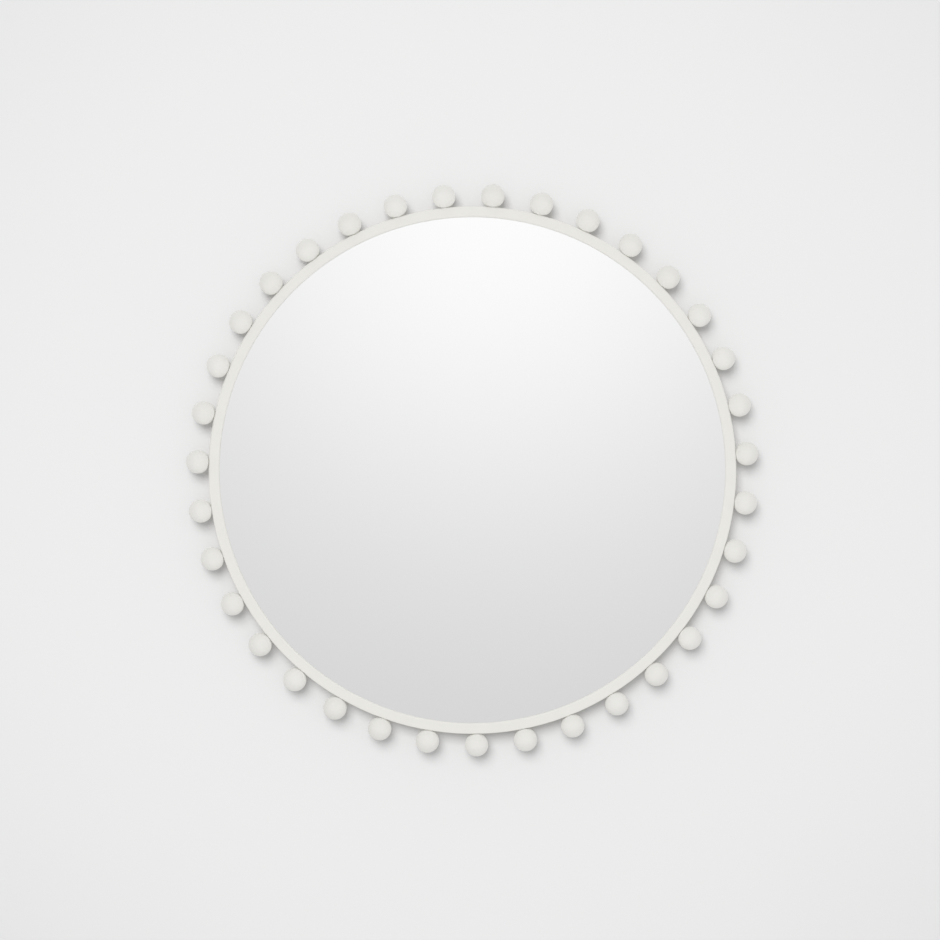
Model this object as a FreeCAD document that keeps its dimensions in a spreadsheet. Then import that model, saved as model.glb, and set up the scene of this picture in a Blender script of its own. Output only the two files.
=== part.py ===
import FreeCAD, Part
import os
import Sketcher

# Round wall mirror: a flat ring frame edged with turned beads, silvered glass behind its lip,
# a board behind the glass, and two D-ring hangers on the board.
# Millimetres, +Z up, +X to the right as seen from the front, which faces -Y.
# The wall is the plane y = 0, and the origin is the mirror's centre on the wall.

SIZES = [
    # Ring frame, one piece with a lip in front of the glass
    ("frame_outer_diameter", 736),
    ("frame_face_width", 15),
    ("lip_depth", 3),
    ("frame_front_edge_radius", 1.5),
    ("lip_edge_radius", 2.5),
    ("frame_back_edge_radius", 1),
    # Turned beads, each flattened where it meets the ring's outer wall
    ("bead_count", 35),
    ("bead_diameter", 32.5),
    ("bead_seat_diameter", 8),
    ("bead_wall_clearance", 1),
    # Glued pins between the beads and the ring
    ("dowel_diameter", 6),
    ("dowel_backing", 2),
    ("dowel_depth_in_bead", 11),
    ("dowel_chamfer", 0.8),
    ("dowel_end_clearance", 0.5),
    ("glue_clearance", 0.05),
    # Silvered glass
    ("glass_thickness", 4),
    ("glass_overlap", 4.5),
    ("glass_edge_clearance", 0.5),
    ("glass_arris", 0.5),
    # Strips of foam tape between the glass and the board
    ("tape_thickness", 1),
    ("tape_width", 25),
    ("tape_count", 5),
    ("tape_side_margin", 145),
    ("tape_end_margin", 107.5),
    # Backing board, flush with the back of the ring
    ("board_thickness", 9),
    ("board_edge_clearance", 0.5),
    ("board_arris", 0.8),
    # Flat plates across the joint of ring and board, one in every few gaps between beads
    ("gaps_per_plate", 5),
    ("plate_length", 28),
    ("plate_width", 10),
    ("plate_thickness", 1.2),
    ("plate_corner_radius", 2.5),
    ("plate_end_margin", 3.5),
    ("plate_screw_from_joint", 4.5),
    # Pan-head wood screws for plates and hangers, with a cross recess
    ("screw_diameter", 3.5),
    ("screw_length", 8),
    ("screw_tip_length", 2),
    ("screw_tip_diameter", 1),
    ("screw_head_diameter", 6.5),
    ("screw_head_height", 2),
    ("screw_head_edge", 0.8),
    ("screw_crown_diameter", 4),
    ("screw_hole_clearance", 0.3),
    ("screw_end_clearance", 0.5),
    ("recess_span", 3.4),
    ("recess_slot", 0.8),
    ("recess_depth", 1.1),
    # Hangers: a steel strap rolled into an eye, and a D-ring of bent wire that swings in it
    ("hanger_side_margin", 147.5),
    ("hanger_top_margin", 157.5),
    ("strap_thickness", 1.2),
    ("strap_width", 13),
    ("strap_length", 36),
    ("strap_end_radius", 5),
    ("strap_first_hole", 8.5),
    ("strap_end_margin", 8),
    ("strap_eye_gap", 0.3),
    ("ring_wire_diameter", 2.5),
    ("ring_side_clearance", 2),
    ("ring_leg", 4),
    ("ring_corner_radius", 2.5),
    ("ring_running_clearance", 0.1),
    ("ring_rest_clearance", 0.3),
    # Rubber bumpers between the board and the wall
    ("bumper_height", 6),
    ("bumper_base_diameter", 16),
    ("bumper_tip_diameter", 13),
    ("bumper_edge_radius", 1.2),
    ("bumper_rim_margin", 47.5),
    ("bumper_angle", 60),
    # How far every cut starts outside the piece
    ("cut_overrun", 2),
]

# Depths from the wall towards the front
BACK = "sizes.bumper_height"
BOARD_FRONT = f"({BACK} + sizes.board_thickness)"
GLASS_BACK = f"({BOARD_FRONT} + sizes.tape_thickness)"
GLASS_FRONT = f"({GLASS_BACK} + sizes.glass_thickness)"
FRAME_FRONT = f"({GLASS_FRONT} + sizes.lip_depth)"

# Radii from the mirror's axis
FRAME_RADIUS = "(sizes.frame_outer_diameter / 2)"
LIP_RADIUS = f"({FRAME_RADIUS} - sizes.frame_face_width)"
GLASS_RADIUS = f"({LIP_RADIUS} + sizes.glass_overlap)"
REBATE_RADIUS = f"({GLASS_RADIUS} + sizes.glass_edge_clearance)"
BOARD_RADIUS = f"({REBATE_RADIUS} - sizes.board_edge_clearance)"
PLATE_OUTER_HOLE = f"({REBATE_RADIUS} + sizes.plate_screw_from_joint)"
PLATE_INNER_HOLE = f"({PLATE_OUTER_HOLE} - sizes.plate_length + 2 * sizes.plate_end_margin)"
BUMPER_CIRCLE = f"({BOARD_RADIUS} - sizes.bumper_rim_margin)"

# Places on the board and the glass, measured in from the rim
HANGER_X = f"({BOARD_RADIUS} - sizes.hanger_side_margin)"
HANGER_Z = f"({BOARD_RADIUS} - sizes.hanger_top_margin)"
TAPE_HALF_SPAN = f"({GLASS_RADIUS} - sizes.tape_side_margin)"
TAPE_HALF_LENGTH = f"({GLASS_RADIUS} - sizes.tape_end_margin)"
TAPE_PITCH = f"((2 * {TAPE_HALF_SPAN} - sizes.tape_width) / (sizes.tape_count - 1))"

# A bead stands just clear of the wall, its centre off the ring by the height of its flat
BEAD_RADIUS = "(sizes.bead_diameter / 2)"
BEAD_DEPTH = f"({BEAD_RADIUS} + sizes.bead_wall_clearance)"
SEAT_HEIGHT = f"sqrt({BEAD_RADIUS} ^ 2 - (sizes.bead_seat_diameter / 2) ^ 2)"
BEAD_PITCH = "(360 / sizes.bead_count)"
PLATE_PITCH = f"({BEAD_PITCH} * sizes.gaps_per_plate)"
PLATE_COUNT = "floor(sizes.bead_count / sizes.gaps_per_plate)"

# Fits
DOWEL_RADIUS = "(sizes.dowel_diameter / 2)"
DOWEL_HOLE_RADIUS = f"({DOWEL_RADIUS} + sizes.glue_clearance)"
DOWEL_IN_FRAME = f"({FRAME_RADIUS} - {REBATE_RADIUS} - sizes.dowel_backing)"
SCREW_RADIUS = "(sizes.screw_diameter / 2)"
PILOT_RADIUS = f"({SCREW_RADIUS} + sizes.glue_clearance)"
SCREW_HOLE_RADIUS = f"({SCREW_RADIUS} + sizes.screw_hole_clearance)"

# The eye of a strap runs round the wire of its D-ring
WIRE_RADIUS = "(sizes.ring_wire_diameter / 2)"
EYE_RADIUS = f"({WIRE_RADIUS} + sizes.ring_running_clearance)"
CURL_RADIUS = f"({EYE_RADIUS} + sizes.strap_thickness)"
CURL_END = f"(acos(({EYE_RADIUS} - sizes.strap_eye_gap) / {CURL_RADIUS}) - 180 deg)"
STRAP_HOLES = ("sizes.strap_first_hole", "(sizes.strap_length - sizes.strap_end_margin)")
RING_HALF_WIDTH = f"(sizes.strap_width / 2 + sizes.ring_side_clearance + {WIRE_RADIUS})"
RING_REACH = f"(sizes.ring_leg + {RING_HALF_WIDTH})"
RING_LEAN = f"asin(({CURL_RADIUS} - {WIRE_RADIUS} - sizes.ring_rest_clearance) / {RING_REACH})"

# How near a corner an edge has to end to be found, as a share of the piece's diagonal
EDGE_SHARE = 1e-4

doc = FreeCAD.newDocument("round_mirror")
nodes = []


def fill_sheet():
    sheet = doc.addObject("Spreadsheet::Sheet", "sizes")
    for row, (alias, number) in enumerate(SIZES, start=1):
        sheet.set(f"A{row}", alias)
        sheet.set(f"B{row}", str(number))
        sheet.setAlias(f"B{row}", alias)
    doc.recompute()
    return sheet


def value(expression):
    """What an expression of the sheet's sizes comes to."""
    return float(sheet.evalExpression(expression))


def place(part, x="0", y="0", z="0", axis=(0, 1, 0), turn="0"):
    """Bind a part's placement: a turn about an axis through its own origin, then a move."""
    base = f"create(<<vector>>; {x}; {y}; {z})"
    about = "create(<<vector>>; {}; {}; {})".format(*axis)
    turned = f"create(<<rotation>>; {about}; {turn})"
    part.setExpression("Placement", f"create(<<placement>>; {base}; {turned})")


def keep(part, label):
    """Name a finished sub-part, which becomes a node."""
    part.Label = label
    nodes.append(part)


def new_body(name):
    body = doc.addObject("PartDesign::Body", name)
    keep(body, name)
    return body


def origin_feature(body, role):
    return next(feature for feature in body.Origin.OriginFeatures if feature.Role == role)


def new_sketch(body, name, plane, offset="0"):
    """An empty sketch on one of the body's origin planes, moved along that plane's normal."""
    sketch = body.newObject("Sketcher::SketchObject", name)
    sketch.AttachmentSupport = (origin_feature(body, plane), [""])
    sketch.MapMode = "FlatFace"
    sketch.setExpression("AttachmentOffset.Base.z", offset)
    return sketch


def lock(sketch, kind, side, vertex, expression):
    """Hold one coordinate of a vertex, measured from the sketch's origin."""
    number = sketch.addConstraint(Sketcher.Constraint(kind, -1, 1, side, vertex, value(expression)))
    sketch.setExpression(f"Constraints[{number}]", expression)


def add_circle(sketch, u, v, radius):
    centre = FreeCAD.Vector(value(u), value(v), 0)
    side = sketch.addGeometry(Part.Circle(centre, FreeCAD.Vector(0, 0, 1), value(radius)))
    lock(sketch, "DistanceX", side, 3, u)
    lock(sketch, "DistanceY", side, 3, v)
    number = sketch.addConstraint(Sketcher.Constraint("Radius", side, value(radius)))
    sketch.setExpression(f"Constraints[{number}]", radius)


def arc_between(start, end, centre, turn):
    """An arc from start to end about a centre, turning left or right on the way."""
    first, last = (start, end) if turn == "left" else (end, start)
    circle = Part.Circle(centre, FreeCAD.Vector(0, 0, 1), (start - centre).Length)
    return Part.ArcOfCircle(circle, circle.parameter(first), circle.parameter(last))


def add_outline(sketch, corners, arcs=None):
    """A closed outline through corners, each a pair of expressions.

    An arc, given by the number of the corner it starts at, has its centre and its turn.
    """
    arcs = arcs or {}
    points = [FreeCAD.Vector(value(u), value(v), 0) for u, v in corners]
    sides = []
    for number, start in enumerate(points):
        end = points[(number + 1) % len(points)]
        if number not in arcs:
            sides.append((sketch.addGeometry(Part.LineSegment(start, end)), 1, 2))
            continue
        u, v, turn = arcs[number]
        centre = FreeCAD.Vector(value(u), value(v), 0)
        side = sketch.addGeometry(arc_between(start, end, centre, turn))
        sides.append((side, 1, 2) if turn == "left" else (side, 2, 1))
    for number, (side, start, end) in enumerate(sides):
        next_side, next_start, _ = sides[(number + 1) % len(sides)]
        sketch.addConstraint(Sketcher.Constraint("Coincident", side, end, next_side, next_start))
        u, v = corners[number]
        lock(sketch, "DistanceX", side, start, u)
        lock(sketch, "DistanceY", side, start, v)
        if number in arcs:
            chord = points[(number + 1) % len(points)] - points[number]
            across = abs(chord.x) >= abs(chord.y)
            kind, expression = ("DistanceY", arcs[number][1]) if across else ("DistanceX", arcs[number][0])
            lock(sketch, kind, side, 3, expression)


def revolve(body, name, sketch, axis):
    feature = body.newObject("PartDesign::Revolution", name)
    feature.Profile = sketch
    feature.ReferenceAxis = (sketch, [axis])
    feature.Angle = 360
    return feature


def pad(body, name, sketch, length):
    feature = body.newObject("PartDesign::Pad", name)
    feature.Profile = sketch
    feature.setExpression("Length", length)
    return feature


def pocket(body, name, sketch, length):
    """A cut along the sketch's normal, which has to take some of the body away."""
    doc.recompute()
    before = body.Shape.Volume
    feature = body.newObject("PartDesign::Pocket", name)
    feature.Profile = sketch
    feature.Reversed = True
    feature.setExpression("Length", length)
    doc.recompute()
    if feature.Shape.Volume >= before:
        raise RuntimeError(f"{name} cuts nothing")
    return feature


def ring_of(body, name, originals, pitch, count):
    """Copies of features round the mirror's axis, a given number of degrees apart."""
    pattern = body.newObject("PartDesign::PolarPattern", name)
    pattern.Originals = originals
    pattern.Axis = (origin_feature(body, "Y_Axis"), [""])
    pattern.Mode = "Spacing"
    pattern.setExpression("Offset", pitch)
    pattern.setExpression("Occurrences", count)
    body.Tip = pattern


def make_frame_ring():
    body = new_body("frame_ring")
    section = new_sketch(body, "frame_section", "YZ_Plane")
    front_edge = "sizes.frame_front_edge_radius"
    back_edge = "sizes.frame_back_edge_radius"
    lip_edge = "sizes.lip_edge_radius"
    corners = [
        (f"-{BACK}", REBATE_RADIUS),
        (f"-{BACK}", f"{FRAME_RADIUS} - {back_edge}"),
        (f"-{BACK} - {back_edge}", FRAME_RADIUS),
        (f"-{FRAME_FRONT} + {front_edge}", FRAME_RADIUS),
        (f"-{FRAME_FRONT}", f"{FRAME_RADIUS} - {front_edge}"),
        (f"-{FRAME_FRONT}", f"{LIP_RADIUS} + {lip_edge}"),
        (f"-{FRAME_FRONT} + {lip_edge}", LIP_RADIUS),
        (f"-{GLASS_FRONT}", LIP_RADIUS),
        (f"-{GLASS_FRONT}", REBATE_RADIUS),
    ]
    arcs = {
        1: (f"-{BACK} - {back_edge}", f"{FRAME_RADIUS} - {back_edge}", "left"),
        3: (f"-{FRAME_FRONT} + {front_edge}", f"{FRAME_RADIUS} - {front_edge}", "left"),
        5: (f"-{FRAME_FRONT} + {lip_edge}", f"{LIP_RADIUS} + {lip_edge}", "left"),
    }
    add_outline(section, corners, arcs)
    revolve(body, "frame_turned", section, "H_Axis")

    # One blind hole for a bead's pin at the bottom, then all round
    mouth = new_sketch(body, "dowel_hole_mouth", "XY_Plane", f"-{FRAME_RADIUS} - sizes.cut_overrun")
    add_circle(mouth, "0", f"-{BEAD_DEPTH}", DOWEL_HOLE_RADIUS)
    depth = f"sizes.cut_overrun + {DOWEL_IN_FRAME} + sizes.dowel_end_clearance"
    hole = pocket(body, "dowel_hole", mouth, depth)
    ring_of(body, "dowel_holes", [hole], BEAD_PITCH, "sizes.bead_count")

    # One pilot hole for a plate's outer screw at the top, then all round
    pilot = plate_pilot(body, "frame_pilot", PLATE_OUTER_HOLE)
    ring_of(body, "frame_pilots", [pilot], PLATE_PITCH, PLATE_COUNT)


def plate_pilot(body, name, radius):
    """A pilot hole in the back, at the top of a circle of plate screws."""
    mouth = new_sketch(body, f"{name}_mouth", "XZ_Plane", f"{BACK} - sizes.cut_overrun")
    add_circle(mouth, "0", radius, PILOT_RADIUS)
    return pocket(body, name, mouth, pilot_depth("sizes.plate_thickness"))


def pilot_depth(clamped):
    """The cut of a pilot hole under a screw that clamps a steel part of some thickness."""
    return f"sizes.cut_overrun + sizes.screw_length - {clamped} + sizes.screw_end_clearance"


def make_beads():
    for number in range(int(value("sizes.bead_count"))):
        label = f"bead_{number + 1:02d}"
        ball = doc.addObject("Part::Sphere", f"{label}_ball")
        ball.setExpression("Radius", BEAD_RADIUS)
        ball.setExpression("Angle1", "-acos(sizes.bead_seat_diameter / sizes.bead_diameter)")
        bore = doc.addObject("Part::Cylinder", f"{label}_bore")
        bore.setExpression("Radius", DOWEL_HOLE_RADIUS)
        depth = "sizes.cut_overrun + sizes.dowel_depth_in_bead + sizes.dowel_end_clearance"
        bore.setExpression("Height", depth)
        place(bore, z=f"-{SEAT_HEIGHT} - sizes.cut_overrun")
        bead = doc.addObject("Part::Cut", label)
        bead.Base = ball
        bead.Tool = bore
        angle = f"180 + {number} * {BEAD_PITCH}"
        reach = f"({FRAME_RADIUS} + {SEAT_HEIGHT})"
        place(bead, f"{reach} * sin({angle})", f"-{BEAD_DEPTH}", f"{reach} * cos({angle})", turn=angle)
        keep(bead, label)


def make_bead_dowels():
    body = new_body("bead_dowels")
    body.AllowCompound = True
    section = new_sketch(body, "dowel_section", "YZ_Plane")
    chamfer = "sizes.dowel_chamfer"
    inner = f"-{FRAME_RADIUS} + {DOWEL_IN_FRAME}"
    outer = f"-{FRAME_RADIUS} - sizes.dowel_depth_in_bead"
    corners = [
        ("0", outer),
        (f"{DOWEL_RADIUS} - {chamfer}", outer),
        (DOWEL_RADIUS, f"{outer} + {chamfer}"),
        (DOWEL_RADIUS, f"{inner} - {chamfer}"),
        (f"{DOWEL_RADIUS} - {chamfer}", inner),
        ("0", inner),
    ]
    add_outline(section, corners)
    pin = revolve(body, "dowel", section, "V_Axis")
    ring_of(body, "dowels", [pin], BEAD_PITCH, "sizes.bead_count")
    place(body, y=f"-{BEAD_DEPTH}")


def make_disc(name, back, front, radius, back_arris, front_arris):
    """A turned disc on the mirror's axis, with its edges taken off."""
    body = new_body(name)
    section = new_sketch(body, f"{name}_section", "YZ_Plane")
    corners = [
        (f"-{back}", "0"),
        (f"-{back}", f"{radius} - {back_arris}"),
        (f"-{back} - {back_arris}", radius),
        (f"-{front} + {front_arris}", radius),
        (f"-{front}", f"{radius} - {front_arris}"),
        (f"-{front}", "0"),
    ]
    add_outline(section, corners)
    revolve(body, f"{name}_turned", section, "H_Axis")
    return body


def make_mirror_glass():
    make_disc("mirror_glass", GLASS_BACK, GLASS_FRONT, GLASS_RADIUS, "sizes.glass_arris", "sizes.glass_arris")


def make_backing_board():
    arris = "sizes.board_arris"
    body = make_disc("backing_board", BACK, BOARD_FRONT, BOARD_RADIUS, arris, arris)
    pilot = plate_pilot(body, "board_pilot", PLATE_INNER_HOLE)
    ring_of(body, "board_pilots", [pilot], PLATE_PITCH, PLATE_COUNT)
    mouth = new_sketch(body, "hanger_pilot_mouths", "XZ_Plane", f"{BACK} - sizes.cut_overrun")
    for side in (-1, 1):
        for hole in STRAP_HOLES:
            add_circle(mouth, f"{side} * {HANGER_X}", f"{HANGER_Z} - {hole}", PILOT_RADIUS)
    pocket(body, "hanger_pilots", mouth, pilot_depth("sizes.strap_thickness"))


def make_mounting_tape():
    body = new_body("mounting_tape")
    body.AllowCompound = True
    strip = new_sketch(body, "strip_outline", "XZ_Plane", BOARD_FRONT)
    corners = [
        (f"-{TAPE_HALF_SPAN}", f"-{TAPE_HALF_LENGTH}"),
        (f"-{TAPE_HALF_SPAN} + sizes.tape_width", f"-{TAPE_HALF_LENGTH}"),
        (f"-{TAPE_HALF_SPAN} + sizes.tape_width", TAPE_HALF_LENGTH),
        (f"-{TAPE_HALF_SPAN}", TAPE_HALF_LENGTH),
    ]
    add_outline(strip, corners)
    cut = pad(body, "strip", strip, "sizes.tape_thickness")
    pattern = body.newObject("PartDesign::LinearPattern", "strips")
    pattern.Originals = [cut]
    pattern.Direction = (origin_feature(body, "X_Axis"), [""])
    pattern.Mode = "Spacing"
    pattern.setExpression("Offset", TAPE_PITCH)
    pattern.setExpression("Occurrences", "sizes.tape_count")
    body.Tip = pattern


def make_retaining_plates():
    """Each plate is drawn at the top of the mirror and turned to its own gap."""
    half = "sizes.plate_width / 2"
    top = f"({PLATE_OUTER_HOLE} + sizes.plate_end_margin)"
    bottom = f"({PLATE_INNER_HOLE} - sizes.plate_end_margin)"
    corner = "sizes.plate_corner_radius"
    corners = [
        (f"-{half} + {corner}", bottom),
        (f"{half} - {corner}", bottom),
        (half, f"{bottom} + {corner}"),
        (half, f"{top} - {corner}"),
        (f"{half} - {corner}", top),
        (f"-{half} + {corner}", top),
        (f"-{half}", f"{top} - {corner}"),
        (f"-{half}", f"{bottom} + {corner}"),
    ]
    arcs = {
        1: (f"{half} - {corner}", f"{bottom} + {corner}", "left"),
        3: (f"{half} - {corner}", f"{top} - {corner}", "left"),
        5: (f"-{half} + {corner}", f"{top} - {corner}", "left"),
        7: (f"-{half} + {corner}", f"{bottom} + {corner}", "left"),
    }
    for number in range(int(value(PLATE_COUNT))):
        body = new_body(f"retaining_plate_{number + 1}")
        face = f"{BACK} - sizes.plate_thickness"
        outline = new_sketch(body, f"plate_outline_{number + 1}", "XZ_Plane", face)
        add_outline(outline, corners, arcs)
        add_circle(outline, "0", PLATE_OUTER_HOLE, SCREW_HOLE_RADIUS)
        add_circle(outline, "0", PLATE_INNER_HOLE, SCREW_HOLE_RADIUS)
        pad(body, f"plate_{number + 1}", outline, "sizes.plate_thickness")
        place(body, turn=f"{number} * {PLATE_PITCH}")


def add_screw(body, name, height, seat):
    """A pan-head screw along Y at some height, its head on a seat at a depth from the wall."""
    section = new_sketch(body, f"{name}_section", "XY_Plane", height)
    head_radius = "sizes.screw_head_diameter / 2"
    head_top = f"-{seat} + sizes.screw_head_height"
    tip = f"-{seat} - sizes.screw_length"
    corners = [
        ("0", tip),
        ("sizes.screw_tip_diameter / 2", tip),
        (SCREW_RADIUS, f"{tip} + sizes.screw_tip_length"),
        (SCREW_RADIUS, f"-{seat}"),
        (head_radius, f"-{seat}"),
        (head_radius, f"-{seat} + sizes.screw_head_edge"),
        ("sizes.screw_crown_diameter / 2", head_top),
        ("0", head_top),
    ]
    add_outline(section, corners)
    turned = revolve(body, f"{name}_turned", section, "V_Axis")

    cross = new_sketch(body, f"{name}_cross", "XZ_Plane", f"{seat} - sizes.screw_head_height")
    arm = "sizes.recess_span / 2"
    slot = "sizes.recess_slot / 2"
    quarter = [(slot, arm), (slot, slot), (arm, slot)]
    corners = [(u, f"{height} + {v}") for u, v in quarter]
    corners += [(u, f"{height} - {v}") for u, v in reversed(quarter)]
    corners += [(f"-{u}", f"{height} - {v}") for u, v in quarter]
    corners += [(f"-{u}", f"{height} + {v}") for u, v in reversed(quarter)]
    add_outline(cross, corners)
    return [turned, pocket(body, f"{name}_recess", cross, "sizes.recess_depth")]


def make_plate_screws():
    body = new_body("plate_screws")
    body.AllowCompound = True
    seat = f"({BACK} - sizes.plate_thickness)"
    features = add_screw(body, "frame_screw", PLATE_OUTER_HOLE, seat)
    features += add_screw(body, "board_screw", PLATE_INNER_HOLE, seat)
    ring_of(body, "screws", features, PLATE_PITCH, PLATE_COUNT)


def make_hanger_strap(name, side):
    """The strap's bent section about the wire's axis: a flat strip rolled into an eye."""
    body = new_body(name)
    section = new_sketch(body, f"{name}_section", "YZ_Plane")
    corners = [
        (f"-{CURL_RADIUS}", "-sizes.strap_length"),
        (f"-{CURL_RADIUS}", "0"),
        (f"{CURL_RADIUS} * cos({CURL_END})", f"{CURL_RADIUS} * sin({CURL_END})"),
        (f"{EYE_RADIUS} * cos({CURL_END})", f"{EYE_RADIUS} * sin({CURL_END})"),
        (f"-{EYE_RADIUS}", "0"),
        (f"-{EYE_RADIUS}", "-sizes.strap_length"),
    ]
    add_outline(section, corners, {1: ("0", "0", "right"), 3: ("0", "0", "left")})
    strip = pad(body, f"{name}_strip", section, "sizes.strap_width")
    strip.Midplane = True

    holes = new_sketch(body, f"{name}_holes", "XZ_Plane", f"-{CURL_RADIUS}")
    for hole in STRAP_HOLES:
        add_circle(holes, "0", f"-{hole}", SCREW_HOLE_RADIUS)
    drilled = pocket(body, f"{name}_screw_holes", holes, f"2 * {CURL_RADIUS} + sizes.cut_overrun")

    rounded = body.newObject("PartDesign::Fillet", f"{name}_end")
    rounded.Base = (drilled, lower_corners(drilled.Shape))
    rounded.setExpression("Radius", "sizes.strap_end_radius")
    place(body, f"{side} * {HANGER_X}", f"-{BACK} + {CURL_RADIUS}", HANGER_Z)


def lower_corners(shape):
    """The names of the two short edges at the free end of a strap."""
    half = value("sizes.strap_width / 2")
    low = -value("sizes.strap_length")
    near = shape.BoundBox.DiagonalLength * EDGE_SHARE
    names = []
    for number, edge in enumerate(shape.Edges, start=1):
        ends = [vertex.Point for vertex in edge.Vertexes]
        at_end = all(abs(p.z - low) < near and abs(abs(p.x) - half) < near for p in ends)
        if at_end and ends[0].x * ends[-1].x > 0:
            names.append(f"Edge{number}")
    return names


def make_hanger_screws(name, side):
    body = new_body(name)
    body.AllowCompound = True
    seat = f"({BACK} - sizes.strap_thickness)"
    for number, hole in enumerate(STRAP_HOLES, start=1):
        add_screw(body, f"{name}_{number}", f"-{hole}", seat)
    place(body, f"{side} * {HANGER_X}", z=HANGER_Z)


def make_hanger_ring(name, side):
    """Bent wire in a D, its straight side in the eye, leaning on the board."""
    body = new_body(name)
    path = new_sketch(body, f"{name}_path", "XZ_Plane")
    corner = "sizes.ring_corner_radius"
    straight = f"({RING_HALF_WIDTH} - {corner})"
    corners = [
        (f"-{straight}", "0"),
        (straight, "0"),
        (RING_HALF_WIDTH, corner),
        (RING_HALF_WIDTH, "sizes.ring_leg"),
        (f"-{RING_HALF_WIDTH}", "sizes.ring_leg"),
        (f"-{RING_HALF_WIDTH}", corner),
    ]
    arcs = {
        1: (straight, corner, "left"),
        3: ("0", "sizes.ring_leg", "left"),
        5: (f"-{straight}", corner, "left"),
    }
    add_outline(path, corners, arcs)
    wire = new_sketch(body, f"{name}_wire", "YZ_Plane")
    add_circle(wire, "0", "0", WIRE_RADIUS)
    bent = body.newObject("PartDesign::AdditivePipe", f"{name}_bent")
    bent.Profile = wire
    bent.Spine = path
    y = f"-{BACK} + {CURL_RADIUS}"
    place(body, f"{side} * {HANGER_X}", y, HANGER_Z, axis=(1, 0, 0), turn=RING_LEAN)


def make_wall_bumpers():
    base = "sizes.bumper_base_diameter / 2"
    tip = "sizes.bumper_tip_diameter / 2"
    edge = "sizes.bumper_edge_radius"
    corners = [
        ("0", f"-{BACK}"),
        (base, f"-{BACK}"),
        (tip, f"-{edge}"),
        (f"{tip} - {edge}", "0"),
        ("0", "0"),
    ]
    arcs = {2: (f"{tip} - {edge}", f"-{edge}", "left")}
    upper = "sizes.bumper_angle"
    lower = f"180 - {upper}"
    for number, angle in enumerate((upper, lower, f"-({lower})", f"-{upper}"), start=1):
        body = new_body(f"wall_bumper_{number}")
        section = new_sketch(body, f"bumper_section_{number}", "XY_Plane")
        add_outline(section, corners, arcs)
        revolve(body, f"bumper_{number}", section, "V_Axis")
        place(body, f"{BUMPER_CIRCLE} * sin({angle})", z=f"{BUMPER_CIRCLE} * cos({angle})")


def check_all():
    failed = [part.Name for part in doc.Objects if {"Invalid", "Error"} & set(part.State)]
    failed += [part.Label for part in nodes if part.Shape.isNull() or not part.Shape.isValid()]
    if failed:
        raise RuntimeError(f"failed: {failed}")


def write_all():
    os.makedirs("parts", exist_ok=True)
    for part in nodes:
        part.Shape.exportStep(f"parts/{part.Label}.step")
        print(part.Label, len(part.Shape.Solids), round(part.Shape.Volume, 1))


sheet = fill_sheet()
make_frame_ring()
make_beads()
make_bead_dowels()
make_mirror_glass()
make_mounting_tape()
make_backing_board()
make_retaining_plates()
make_plate_screws()
for hand, x_sign in (("left", -1), ("right", 1)):
    make_hanger_strap(f"hanger_strap_{hand}", x_sign)
    make_hanger_screws(f"hanger_screws_{hand}", x_sign)
    make_hanger_ring(f"hanger_ring_{hand}", x_sign)
make_wall_bumpers()
doc.recompute()
check_all()
write_all()
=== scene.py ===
import math

import bpy
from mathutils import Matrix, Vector

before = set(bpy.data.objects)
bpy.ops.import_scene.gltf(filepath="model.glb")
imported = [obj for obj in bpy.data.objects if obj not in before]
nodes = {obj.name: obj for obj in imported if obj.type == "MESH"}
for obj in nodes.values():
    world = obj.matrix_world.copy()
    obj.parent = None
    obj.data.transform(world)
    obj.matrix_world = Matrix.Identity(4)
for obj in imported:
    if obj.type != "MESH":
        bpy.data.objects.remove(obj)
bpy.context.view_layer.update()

BEADS = [name for name in nodes if name.startswith("bead_") and name != "bead_dowels"]
PAINTED = ["frame_ring", *BEADS]
PLATES = [name for name in nodes if name.startswith("retaining_plate_")]
BUMPERS = [name for name in nodes if name.startswith("wall_bumper_")]
SCREWS = ["plate_screws", "hanger_screws_left", "hanger_screws_right"]
STRAPS = ["hanger_strap_left", "hanger_strap_right"]
RINGS = ["hanger_ring_left", "hanger_ring_right"]


def linear(hex_colour):
    """An sRGB hex colour as the linear colour that shaders work in."""
    parts = [int(hex_colour[i : i + 2], 16) / 255 for i in (1, 3, 5)]
    return [c / 12.92 if c <= 0.04045 else ((c + 0.055) / 1.055) ** 2.4 for c in parts] + [1.0]


def per_metre(size_mm):
    """How often a pattern with features of this size repeats in a metre."""
    return 1000 / size_mm


def add(tree, kind, links=None, **settings):
    """Add a node, set its properties, and fill its sockets with values or with other sockets."""
    node = tree.nodes.new(kind)
    for name, value in settings.items():
        setattr(node, name, value)
    for socket, source in (links or {}).items():
        if isinstance(source, bpy.types.NodeSocket):
            tree.links.new(source, node.inputs[socket])
        else:
            node.inputs[socket].default_value = source
    return node


def new_finish(name):
    """An empty material: its tree and the place of a point on the piece, in metres."""
    material = bpy.data.materials.new(name)
    material.use_nodes = True
    material.node_tree.nodes.clear()
    place = add(material.node_tree, "ShaderNodeTexCoord").outputs["Object"]
    return material, material.node_tree, place


def shade(tree, **sockets):
    """Close a material with its surface shader."""
    links = {name.replace("_", " "): value for name, value in sockets.items()}
    surface = add(tree, "ShaderNodeBsdfPrincipled", links)
    add(tree, "ShaderNodeOutputMaterial", {"Surface": surface.outputs["BSDF"]})


def dress(material, *names):
    """Give CAD pieces a finish."""
    for name in names:
        mesh = nodes[name].data
        mesh.materials.clear()
        mesh.materials.append(material)


def distance_from_axis(tree, place):
    """How far a point is from the axis that the ring and the beads' circle are turned about."""
    flat = add(tree, "ShaderNodeVectorMath", {0: place, 1: (1, 0, 1)}, operation="MULTIPLY")
    reach = add(tree, "ShaderNodeVectorMath", {0: flat.outputs["Vector"]}, operation="LENGTH")
    return reach.outputs["Value"]


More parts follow.
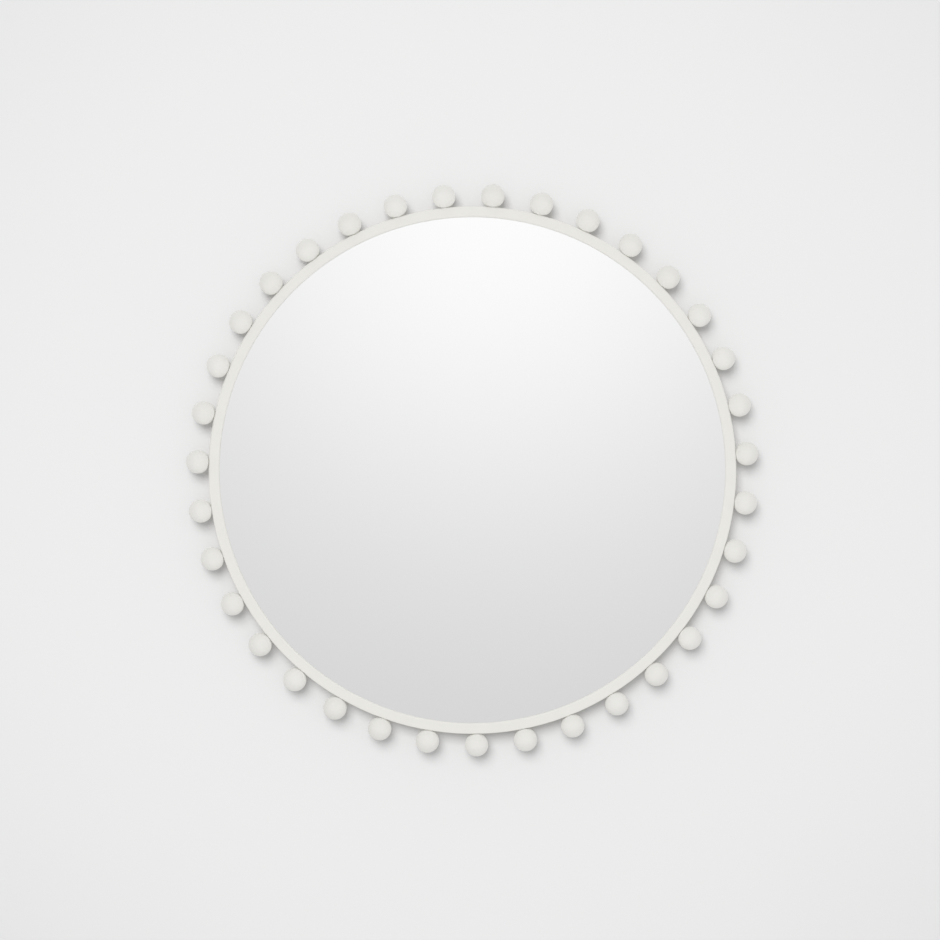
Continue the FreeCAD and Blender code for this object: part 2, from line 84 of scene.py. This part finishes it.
# Paint on the ring and the beads


def sprayed_matt_lacquer(name, colour, shaded_colour, piece_shift):
    """Warm off-white lacquer, sprayed over sanded wood: matt and even, with a little cloud where the
    coat is thicker, a soft orange peel, and the last trace of the turning lines under it."""
    material, tree, place = new_finish(name)
    cloud = add(tree, "ShaderNodeTexNoise", {"Vector": place, "Scale": per_metre(22), "Detail": 3})
    tone = cloud.outputs["Fac"]
    if piece_shift:
        # Each bead was sprayed by itself, so each is a shade lighter or darker
        own = add(tree, "ShaderNodeObjectInfo").outputs["Random"]
        shift = add(tree, "ShaderNodeMath", {0: own, 1: piece_shift, 2: tone}, operation="MULTIPLY_ADD")
        middle = {0: shift.outputs[0], 1: piece_shift / 2}
        tone = add(tree, "ShaderNodeMath", middle, operation="SUBTRACT").outputs[0]
    colours = add(
        tree,
        "ShaderNodeMixRGB",
        {"Fac": tone, "Color1": linear(shaded_colour), "Color2": linear(colour)},
        use_clamp=True,
    )

    # Orange peel is about 1 mm across, and is drawn at 3 mm to show at all
    peel = add(tree, "ShaderNodeTexNoise", {"Vector": place, "Scale": per_metre(3), "Detail": 1})
    # Turning lines are under half a millimetre apart, and are drawn at 2.5 mm, much lower than the peel
    line_height = 0.06
    radius = distance_from_axis(tree, place)
    turns = add(
        tree, "ShaderNodeMath", {0: radius, 1: per_metre(2.5) * math.tau}, operation="MULTIPLY"
    )
    line = add(tree, "ShaderNodeMath", {0: turns.outputs[0]}, operation="SINE")
    relief = add(
        tree,
        "ShaderNodeMath",
        {0: line.outputs[0], 1: line_height, 2: peel.outputs["Fac"]},
        operation="MULTIPLY_ADD",
    )
    bump = add(
        tree, "ShaderNodeBump", {"Strength": 0.12, "Distance": 0.0002, "Height": relief.outputs[0]}
    )
    rough = add(
        tree, "ShaderNodeMapRange", {"Value": peel.outputs["Fac"], "To Min": 0.78, "To Max": 0.92}
    )
    shade(
        tree,
        Base_Color=colours.outputs["Color"],
        Roughness=rough.outputs["Result"],
        IOR=1.5,
        Normal=bump.outputs["Normal"],
    )
    return material


# Glass


def silvered_float_glass():
    """Silver behind clear float glass: a plain bright mirror, with the faint haze of a wiped pane."""
    material, tree, place = new_finish("silvered_float_glass")
    haze = add(tree, "ShaderNodeTexNoise", {"Vector": place, "Scale": per_metre(90), "Detail": 4})
    rough = add(
        tree, "ShaderNodeMapRange", {"Value": haze.outputs["Fac"], "To Min": 0.0, "To Max": 0.03}
    )
    shade(
        tree,
        Base_Color=linear("#F6F6F6"),
        Metallic=1.0,
        Roughness=rough.outputs["Result"],
        Coat_Weight=1.0,
        Coat_Roughness=0.0,
        Coat_IOR=1.52,
    )
    return material


# Behind the glass


def raw_fibreboard():
    """Medium-density fibreboard as it leaves the press, sanded: tan, dusty and matt, with dark fibre
    flecks and soft clouds."""
    material, tree, place = new_finish("raw_pressed_fibreboard")
    cloud = add(tree, "ShaderNodeTexNoise", {"Vector": place, "Scale": per_metre(45), "Detail": 4})
    # Fibres are half a millimetre long, and their flecks are drawn at 3.5 mm
    fleck = add(
        tree,
        "ShaderNodeTexNoise",
        {"Vector": place, "Scale": per_metre(3.5), "Detail": 5, "Roughness": 0.75},
    )
    ground = add(
        tree,
        "ShaderNodeMixRGB",
        {"Fac": cloud.outputs["Fac"], "Color1": linear("#A17D55"), "Color2": linear("#BD9A6E")},
    )
    dark = add(
        tree,
        "ShaderNodeMapRange",
        {"Value": fleck.outputs["Fac"], "From Min": 0.5, "From Max": 0.74, "To Max": 0.55},
    )
    colours = add(
        tree,
        "ShaderNodeMixRGB",
        {
            "Fac": dark.outputs["Result"],
            "Color1": ground.outputs["Color"],
            "Color2": linear("#7C5C3B"),
        },
    )
    bump = add(
        tree, "ShaderNodeBump", {"Strength": 0.2, "Distance": 0.0002, "Height": fleck.outputs["Fac"]}
    )
    shade(
        tree,
        Base_Color=colours.outputs["Color"],
        Roughness=0.85,
        IOR=1.5,
        Normal=bump.outputs["Normal"],
    )
    return material


def turned_beech():
    """Beech pin, planed round and left raw: pinkish tan with short dark flecks along the pin."""
    material, tree, place = new_finish("raw_turned_beech")
    radius = distance_from_axis(tree, place)
    parts = add(tree, "ShaderNodeSeparateXYZ", {"Vector": place})
    # Flecks are 2 mm long and 0.2 mm wide, and are drawn 6 mm by 1 mm
    fleck_length_mm = 6
    along = add(tree, "ShaderNodeMath", {0: radius, 1: 1 / fleck_length_mm}, operation="MULTIPLY")
    grain = add(tree, "ShaderNodeCombineXYZ", {"X": along.outputs[0], "Y": parts.outputs["Y"]})
    fleck = add(
        tree,
        "ShaderNodeTexNoise",
        {"Vector": grain.outputs["Vector"], "Scale": per_metre(1), "Detail": 3},
    )
    colours = add(
        tree,
        "ShaderNodeMixRGB",
        {"Fac": fleck.outputs["Fac"], "Color1": linear("#B98A62"), "Color2": linear("#D6AE86")},
    )
    shade(tree, Base_Color=colours.outputs["Color"], Roughness=0.6, IOR=1.5)
    return material


def foam_tape():
    """Closed-cell foam with acrylic glue: grey-white, matt and pitted by its cells."""
    material, tree, place = new_finish("closed_cell_foam_tape")
    # Cells are 0.3 mm across, and are drawn at 3 mm
    cells = add(tree, "ShaderNodeTexVoronoi", {"Vector": place, "Scale": per_metre(3)})
    depth = cells.outputs["Distance"]
    colours = add(
        tree,
        "ShaderNodeMixRGB",
        {"Fac": depth, "Color1": linear("#E2E1DC"), "Color2": linear("#C6C5BF")},
    )
    bump = add(tree, "ShaderNodeBump", {"Strength": 0.3, "Distance": 0.0003, "Height": depth})
    shade(
        tree,
        Base_Color=colours.outputs["Color"],
        Roughness=0.9,
        IOR=1.5,
        Normal=bump.outputs["Normal"],
    )
    return material


def moulded_rubber():
    """Black rubber from a spark-eroded mould: matt charcoal with a fine grain and a bloom of dust."""
    material, tree, place = new_finish("moulded_rubber")
    # The mould's grain is 0.1 mm, and is drawn at 1.5 mm
    grain = add(tree, "ShaderNodeTexNoise", {"Vector": place, "Scale": per_metre(1.5), "Detail": 3})
    colours = add(
        tree,
        "ShaderNodeMixRGB",
        {"Fac": grain.outputs["Fac"], "Color1": linear("#262627"), "Color2": linear("#3F3F40")},
    )
    bump = add(
        tree, "ShaderNodeBump", {"Strength": 0.3, "Distance": 0.0001, "Height": grain.outputs["Fac"]}
    )
    shade(
        tree,
        Base_Color=colours.outputs["Color"],
        Roughness=0.72,
        IOR=1.52,
        Normal=bump.outputs["Normal"],
    )
    return material


# Metal


def plated_steel(name, bright, dull, low_rough, high_rough, patch_mm):
    """Plated steel: the plating's tone goes from bright to dull in small patches, where tumbling and
    handling have taken the shine off."""
    material, tree, place = new_finish(name)
    patch = add(
        tree, "ShaderNodeTexNoise", {"Vector": place, "Scale": per_metre(patch_mm), "Detail": 4}
    )
    colours = add(
        tree,
        "ShaderNodeMixRGB",
        {"Fac": patch.outputs["Fac"], "Color1": linear(bright), "Color2": linear(dull)},
    )
    rough = add(
        tree,
        "ShaderNodeMapRange",
        {
            "Value": patch.outputs["Fac"],
            "From Min": 0.3,
            "From Max": 0.7,
            "To Min": low_rough,
            "To Max": high_rough,
        },
    )
    shade(
        tree, Base_Color=colours.outputs["Color"], Metallic=1.0, Roughness=rough.outputs["Result"]
    )
    return material


def dress_mirror():
    """Finish every piece, from the paint that shows to what is hidden behind the glass."""
    ring_paint = sprayed_matt_lacquer("sprayed_lacquer_on_fibreboard", "#E8E7E2", "#E3E2DD", 0)
    bead_paint = sprayed_matt_lacquer("sprayed_lacquer_on_turned_beech", "#E8E7E3", "#E4E3DE", 0.5)
    dress(ring_paint, "frame_ring")
    dress(bead_paint, *BEADS)
    dress(silvered_float_glass(), "mirror_glass")
    dress(raw_fibreboard(), "backing_board")
    dress(turned_beech(), "bead_dowels")
    dress(foam_tape(), "mounting_tape")
    dress(moulded_rubber(), *BUMPERS)
    # Bright zinc is cold and a little grey, nickel is warmer and shinier
    dress(plated_steel("zinc_plated_stamped_steel", "#D2D6DA", "#B4B8BC", 0.26, 0.42, 7), *PLATES)
    dress(plated_steel("zinc_plated_rolled_thread_steel", "#CDD1D5", "#A9ADB1", 0.24, 0.4, 3), *SCREWS)
    dress(plated_steel("nickel_plated_pressed_strip", "#DAD5CB", "#BFB9AE", 0.2, 0.34, 6), *STRAPS)
    dress(plated_steel("nickel_plated_drawn_wire", "#DFDAD0", "#C9C3B8", 0.12, 0.22, 4), *RINGS)


# Room: a patch of painted wall, a floor well below, and soft light

WALL = "#B8B8B8"
FLOOR = "#D6D6D6"
# The wall stays just clear of the bumpers that touch it
WALL_GAP = 0.0006
# How far the floor is below the middle of the mirror
FLOOR_DROP = 1.35


def soft_edged_paint(name, colour, bare_radius, solid_radius, clear_radius):
    """Matt paint that shows from its front only, fades out with distance from the middle, and is left
    bare inside a radius, such as where the mirror covers the wall."""
    material, tree, place = new_finish(name)
    reach = add(tree, "ShaderNodeVectorMath", {0: place}, operation="LENGTH").outputs["Value"]
    solid = add(
        tree,
        "ShaderNodeMapRange",
        {"Value": reach, "From Min": clear_radius, "From Max": solid_radius},
        interpolation_type="SMOOTHSTEP",
    )
    behind = add(tree, "ShaderNodeNewGeometry").outputs["Backfacing"]
    front = add(tree, "ShaderNodeMath", {0: 1.0, 1: behind}, operation="SUBTRACT")
    clad = add(tree, "ShaderNodeMath", {0: reach, 1: bare_radius}, operation="GREATER_THAN")
    faced = add(
        tree, "ShaderNodeMath", {0: clad.outputs[0], 1: front.outputs[0]}, operation="MULTIPLY"
    )
    shown = add(
        tree, "ShaderNodeMath", {0: solid.outputs["Result"], 1: faced.outputs[0]}, operation="MULTIPLY"
    )
    clear = add(tree, "ShaderNodeBsdfTransparent")
    paint = add(tree, "ShaderNodeBsdfDiffuse", {"Color": linear(colour)})
    surface = add(
        tree,
        "ShaderNodeMixShader",
        {0: shown.outputs[0], 1: clear.outputs["BSDF"], 2: paint.outputs["BSDF"]},
    )
    add(tree, "ShaderNodeOutputMaterial", {"Surface": surface.outputs["Shader"]})
    return material


def stage_plane(name, half_side, location, rotation, material):
    """Add a flat square to the room, which isn't part of the mirror."""
    mesh = bpy.data.meshes.new(name)
    signs = [(-1, -1), (1, -1), (1, 1), (-1, 1)]
    mesh.from_pydata([(x * half_side, y * half_side, 0) for x, y in signs], [], [(0, 1, 2, 3)])
    mesh.materials.append(material)
    plane = bpy.data.objects.new(name, mesh)
    plane.location = location
    plane.rotation_euler = rotation
    bpy.context.scene.collection.objects.link(plane)
    return plane


def build_room():
    """Put the wall behind the mirror and the floor below it, and give the wall back for its lamp."""
    wall_paint = soft_edged_paint(
        "matt_wall_paint", WALL, bare_radius=0.35, solid_radius=0.5, clear_radius=1.9
    )
    wall = stage_plane("wall", 2.0, (0, WALL_GAP, 0), (math.radians(90), 0, 0), wall_paint)
    # The wall takes shadows for the camera and is left out of everything else, so light reaches the
    # mirror's back
    wall.visible_diffuse = False
    wall.visible_glossy = False
    wall.visible_transmission = False
    wall.visible_shadow = False
    floor_paint = soft_edged_paint(
        "matt_floor_paint", FLOOR, bare_radius=0, solid_radius=2.5, clear_radius=6.0
    )
    floor = stage_plane("floor", 6.5, (0, 0, -FLOOR_DROP), (0, 0, 0), floor_paint)
    # The floor throws no light up, so the beads are lit evenly from below and above
    floor.visible_diffuse = False
    floor.visible_glossy = False
    return wall


# Light on matt surfaces, from the front and, as off a white wall, from behind, where more of it falls
# from above
FRONT_LEVEL = 1.0
BACK_LEVEL = 0.84
BACK_FROM_ABOVE = 0.1
# What glass and metal show: in front a grey room, paler low down, with a soft round glow over the
# camera, and behind a room that is dim below and bright above
ROOM_LEVEL = 0.665
PALER_BELOW = 0.2
PALER_FROM_HEIGHT = -0.14
PALEST_AT_HEIGHT = -0.9
REAR_LEVEL = 0.56
BRIGHTER_ABOVE = 0.4
GLOW_LEVEL = 0.39
GLOW_FROM = Vector((0.014, -1, 0.137)).normalized()
GLOW_TIGHTNESS = 56
# Front and rear meet softly, this far to each side of the mirror's plane
MEETING = 0.2


def build_world():
    """Surround the mirror with even soft light, and with a plain room for its glass to show."""
    world = bpy.data.worlds.new("soft_studio")
    bpy.context.scene.world = world
    world.use_nodes = True
    tree = world.node_tree
    tree.nodes.clear()
    way = add(tree, "ShaderNodeTexCoord").outputs["Generated"]
    parts = add(tree, "ShaderNodeSeparateXYZ", {"Vector": way})
    depth = parts.outputs["Y"]
    height = parts.outputs["Z"]

    back = add(
        tree, "ShaderNodeMath", {0: height, 1: BACK_FROM_ABOVE, 2: BACK_LEVEL}, operation="MULTIPLY_ADD"
    )
    soft = add(
        tree,
        "ShaderNodeMapRange",
        {
            "Value": depth,
            "From Min": -MEETING,
            "From Max": MEETING,
            "To Min": FRONT_LEVEL,
            "To Max": back.outputs[0],
        },
        interpolation_type="SMOOTHSTEP",
    )

    towards = add(tree, "ShaderNodeVectorMath", {0: way, 1: GLOW_FROM}, operation="DOT_PRODUCT")
    off = add(tree, "ShaderNodeMath", {0: towards.outputs["Value"], 1: 1.0}, operation="SUBTRACT")
    fall = add(tree, "ShaderNodeMath", {0: off.outputs[0], 1: GLOW_TIGHTNESS}, operation="MULTIPLY")
    glow = add(tree, "ShaderNodeMath", {0: fall.outputs[0]}, operation="EXPONENT")
    room = add(
        tree,
        "ShaderNodeMapRange",
        {
            "Value": height,
            "From Min": PALER_FROM_HEIGHT,
            "From Max": PALEST_AT_HEIGHT,
            "To Min": ROOM_LEVEL,
            "To Max": ROOM_LEVEL + PALER_BELOW,
        },
    )
    shown = add(
        tree,
        "ShaderNodeMath",
        {0: glow.outputs[0], 1: GLOW_LEVEL, 2: room.outputs["Result"]},
        operation="MULTIPLY_ADD",
    )
    rear = add(
        tree, "ShaderNodeMath", {0: height, 1: BRIGHTER_ABOVE, 2: REAR_LEVEL}, operation="MULTIPLY_ADD"
    )
    around = add(
        tree,
        "ShaderNodeMapRange",
        {
            "Value": depth,
            "From Min": -MEETING,
            "From Max": MEETING,
            "To Min": shown.outputs[0],
            "To Max": rear.outputs[0],
        },
        interpolation_type="SMOOTHSTEP",
    )

    white = linear("#FFFFFF")
    lit = add(tree, "ShaderNodeBackground", {"Color": white, "Strength": soft.outputs["Result"]})
    mirrored = add(tree, "ShaderNodeBackground", {"Color": white, "Strength": around.outputs["Result"]})
    backdrop = add(tree, "ShaderNodeBackground", {"Color": white, "Strength": ROOM_LEVEL})
    path = add(tree, "ShaderNodeLightPath")
    # Light that the glass throws on the ring is the room's soft light, not the picture in the glass
    first = add(
        tree, "ShaderNodeMath", {0: path.outputs["Diffuse Depth"], 1: 0.5}, operation="LESS_THAN"
    )
    picture = add(
        tree,
        "ShaderNodeMath",
        {0: path.outputs["Is Glossy Ray"], 1: first.outputs[0]},
        operation="MULTIPLY",
    )
    reflected = add(
        tree,
        "ShaderNodeMixShader",
        {0: picture.outputs[0], 1: lit.outputs["Background"], 2: mirrored.outputs["Background"]},
    )
    seen = add(
        tree,
        "ShaderNodeMixShader",
        {
            0: path.outputs["Is Camera Ray"],
            1: reflected.outputs["Shader"],
            2: backdrop.outputs["Background"],
        },
    )
    add(tree, "ShaderNodeOutputWorld", {"Surface": seen.outputs["Shader"]})


def add_lamp(name, receivers, towards, distance, side, watts):
    """Hang a square soft box that faces the mirror's middle and lights only some objects."""
    lamp = bpy.data.lights.new(name, "AREA")
    lamp.size = side
    lamp.energy = watts
    box = bpy.data.objects.new(name, lamp)
    box.location = Vector(towards).normalized() * distance
    box.rotation_euler = (-box.location).to_track_quat("-Z", "Y").to_euler()
    bpy.context.scene.collection.objects.link(box)
    group = bpy.data.collections.new(f"{name}_lights")
    for receiver in receivers:
        group.objects.link(receiver)
    box.light_linking.receiver_collection = group
    return box


def build_lamps(wall):
    """Add the soft boxes to the room's even light."""
    painted = [nodes[name] for name in PAINTED]
    hardware = [nodes[name] for name in nodes if name not in PAINTED]
    # The wall's own box deepens the shadows on it
    add_lamp("wall_soft_box", [wall], towards=(-0.23, -1, 0.49), distance=32, side=19, watts=10100)
    # A box above lifts the edge of the ring where it faces up
    add_lamp(
        "soft_box_above", [nodes["frame_ring"]], towards=(-0.3, -0.35, 1), distance=6, side=3, watts=24
    )
    # A small one before the glass lights the ring and the beads on the sides that face the middle
    near_box = add_lamp(
        "soft_box_before_glass", painted, towards=(0, -1, 0), distance=0.35, side=0.3, watts=0.25
    )
    near_box.visible_camera = False
    near_box.visible_glossy = False
    # A box behind gives the hardware on the back its highlights
    add_lamp("soft_box_behind", hardware, towards=(0.5, 1, 0.6), distance=2.6, side=1.2, watts=12)


CAMERA_LENS_MM = 82
CAMERA_PLACE = (-0.0034, -3.008, 0.0002)
# The photographed mirror hangs a little turned, which the camera takes up
CAMERA_ROLL = math.radians(0.85)


def place_camera():
    """Stand the camera straight in front of the mirror."""
    camera = bpy.data.cameras.new("camera")
    camera.lens = CAMERA_LENS_MM
    eye = bpy.data.objects.new("camera", camera)
    eye.location = CAMERA_PLACE
    eye.rotation_euler = (math.radians(90), CAMERA_ROLL, 0)
    bpy.context.scene.collection.objects.link(eye)
    bpy.context.scene.camera = eye


dress_mirror()
wall = build_room()
build_world()
build_lamps(wall)
place_camera()
bpy.context.scene.view_settings.view_transform = "Standard"
